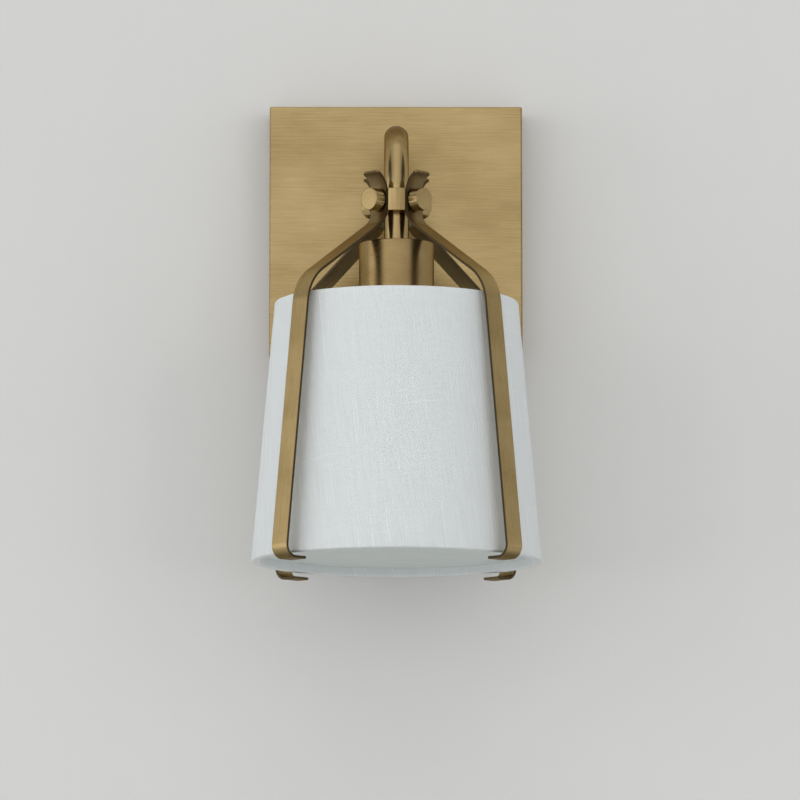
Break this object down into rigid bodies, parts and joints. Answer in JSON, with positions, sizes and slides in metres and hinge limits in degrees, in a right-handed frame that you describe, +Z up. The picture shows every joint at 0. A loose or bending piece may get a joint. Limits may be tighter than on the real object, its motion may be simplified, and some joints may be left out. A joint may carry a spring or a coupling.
{
  "type": "wall light",
  "caption": "Square wall pan with a gooseneck arm, whose collar holds bent metal straps round a tapered linen drum shade with a frosted disc near its lower rim.",
  "frame": {"origin": "middle of the wall pan's open back, on the wall's surface", "axes": "+X to the right seen from the room, +Z up, and the light stands out towards -Y"},
  "size_m": [0.1408, 0.1654, 0.2418],
  "materials": {
    "aged_brass": "brushed, aged and lacquered",
    "zinc_steel": "zinc plated",
    "green_paint": "satin",
    "moulded_black": "matt moulded",
    "bare_brass": "bright pressed",
    "white_linen": "plain weave with slubs",
    "white_backing": "matt",
    "white_enamel": "satin",
    "frosted_acrylic": "frosted"
  },
  "bodies": {
    "fixture": {"backplate": "aged_brass", "mounting_bracket": "zinc_steel", "ground_screw": "green_paint", "lock_screws": "aged_brass", "arm_tube": "aged_brass", "arm_nipple": "zinc_steel", "arm_washer": "zinc_steel", "arm_nut": "zinc_steel", "collar": "aged_brass", "socket_cup": "aged_brass", "cup_nipple": "zinc_steel", "cup_nut": "zinc_steel", "lampholder_cap": "zinc_steel", "lampholder_body": "moulded_black", "lampholder_shell": "bare_brass", "lampholder_contact": "bare_brass", "holder_ring": "moulded_black", "shade_fabric": "white_linen", "shade_liner": "white_backing", "shade_top_ring": "white_enamel", "shade_spider": "white_enamel", "shade_bottom_ring": "white_enamel", "diffuser": "frosted_acrylic", "strap_front_left": "aged_brass", "strap_front_right": "aged_brass", "strap_rear_right": "aged_brass", "strap_rear_left": "aged_brass"},
    "front_left_washer": {"washer_front_left": "aged_brass"},
    "front_left_thumbscrew": {"thumbscrew_front_left": "aged_brass"},
    "front_right_washer": {"washer_front_right": "aged_brass"},
    "front_right_thumbscrew": {"thumbscrew_front_right": "aged_brass"},
    "rear_right_washer": {"washer_rear_right": "aged_brass"},
    "rear_right_thumbscrew": {"thumbscrew_rear_right": "aged_brass"},
    "rear_left_washer": {"washer_rear_left": "aged_brass"},
    "rear_left_thumbscrew": {"thumbscrew_rear_left": "aged_brass"}
  },
  "joints": [
    {"name": "front_left_travel", "type": "slide", "parent": "fixture", "child": "front_left_washer", "axis": [-0.7071, -0.7071, 0], "range_m": [0, 0.0043]},
    {"name": "front_left_turn", "type": "hinge", "parent": "front_left_washer", "child": "front_left_thumbscrew", "pos_m": [0, -0.095, 0.0018], "axis": [-0.7071, -0.7071, 0], "range_deg": [0, 2160]},
    {"name": "front_right_travel", "type": "slide", "parent": "fixture", "child": "front_right_washer", "axis": [0.7071, -0.7071, 0], "range_m": [0, 0.0043]},
    {"name": "front_right_turn", "type": "hinge", "parent": "front_right_washer", "child": "front_right_thumbscrew", "pos_m": [0, -0.095, 0.0018], "axis": [0.7071, -0.7071, 0], "range_deg": [0, 2160]},
    {"name": "rear_right_travel", "type": "slide", "parent": "fixture", "child": "rear_right_washer", "axis": [0.7071, 0.7071, 0], "range_m": [0, 0.0043]},
    {"name": "rear_right_turn", "type": "hinge", "parent": "rear_right_washer", "child": "rear_right_thumbscrew", "pos_m": [0, -0.095, 0.0018], "axis": [0.7071, 0.7071, 0], "range_deg": [0, 2160]},
    {"name": "rear_left_travel", "type": "slide", "parent": "fixture", "child": "rear_left_washer", "axis": [-0.7071, 0.7071, 0], "range_m": [0, 0.0043]},
    {"name": "rear_left_turn", "type": "hinge", "parent": "rear_left_washer", "child": "rear_left_thumbscrew", "pos_m": [0, -0.095, 0.0018], "axis": [-0.7071, 0.7071, 0], "range_deg": [0, 2160]}
  ],
  "couplings": [
    {"joint": "front_left_travel", "follows": "front_left_turn", "m_per_rad": 0.00011141},
    {"joint": "front_right_travel", "follows": "front_right_turn", "m_per_rad": 0.00011141},
    {"joint": "rear_right_travel", "follows": "rear_right_turn", "m_per_rad": 0.00011141},
    {"joint": "rear_left_travel", "follows": "rear_left_turn", "m_per_rad": 0.00011141}
  ]
}
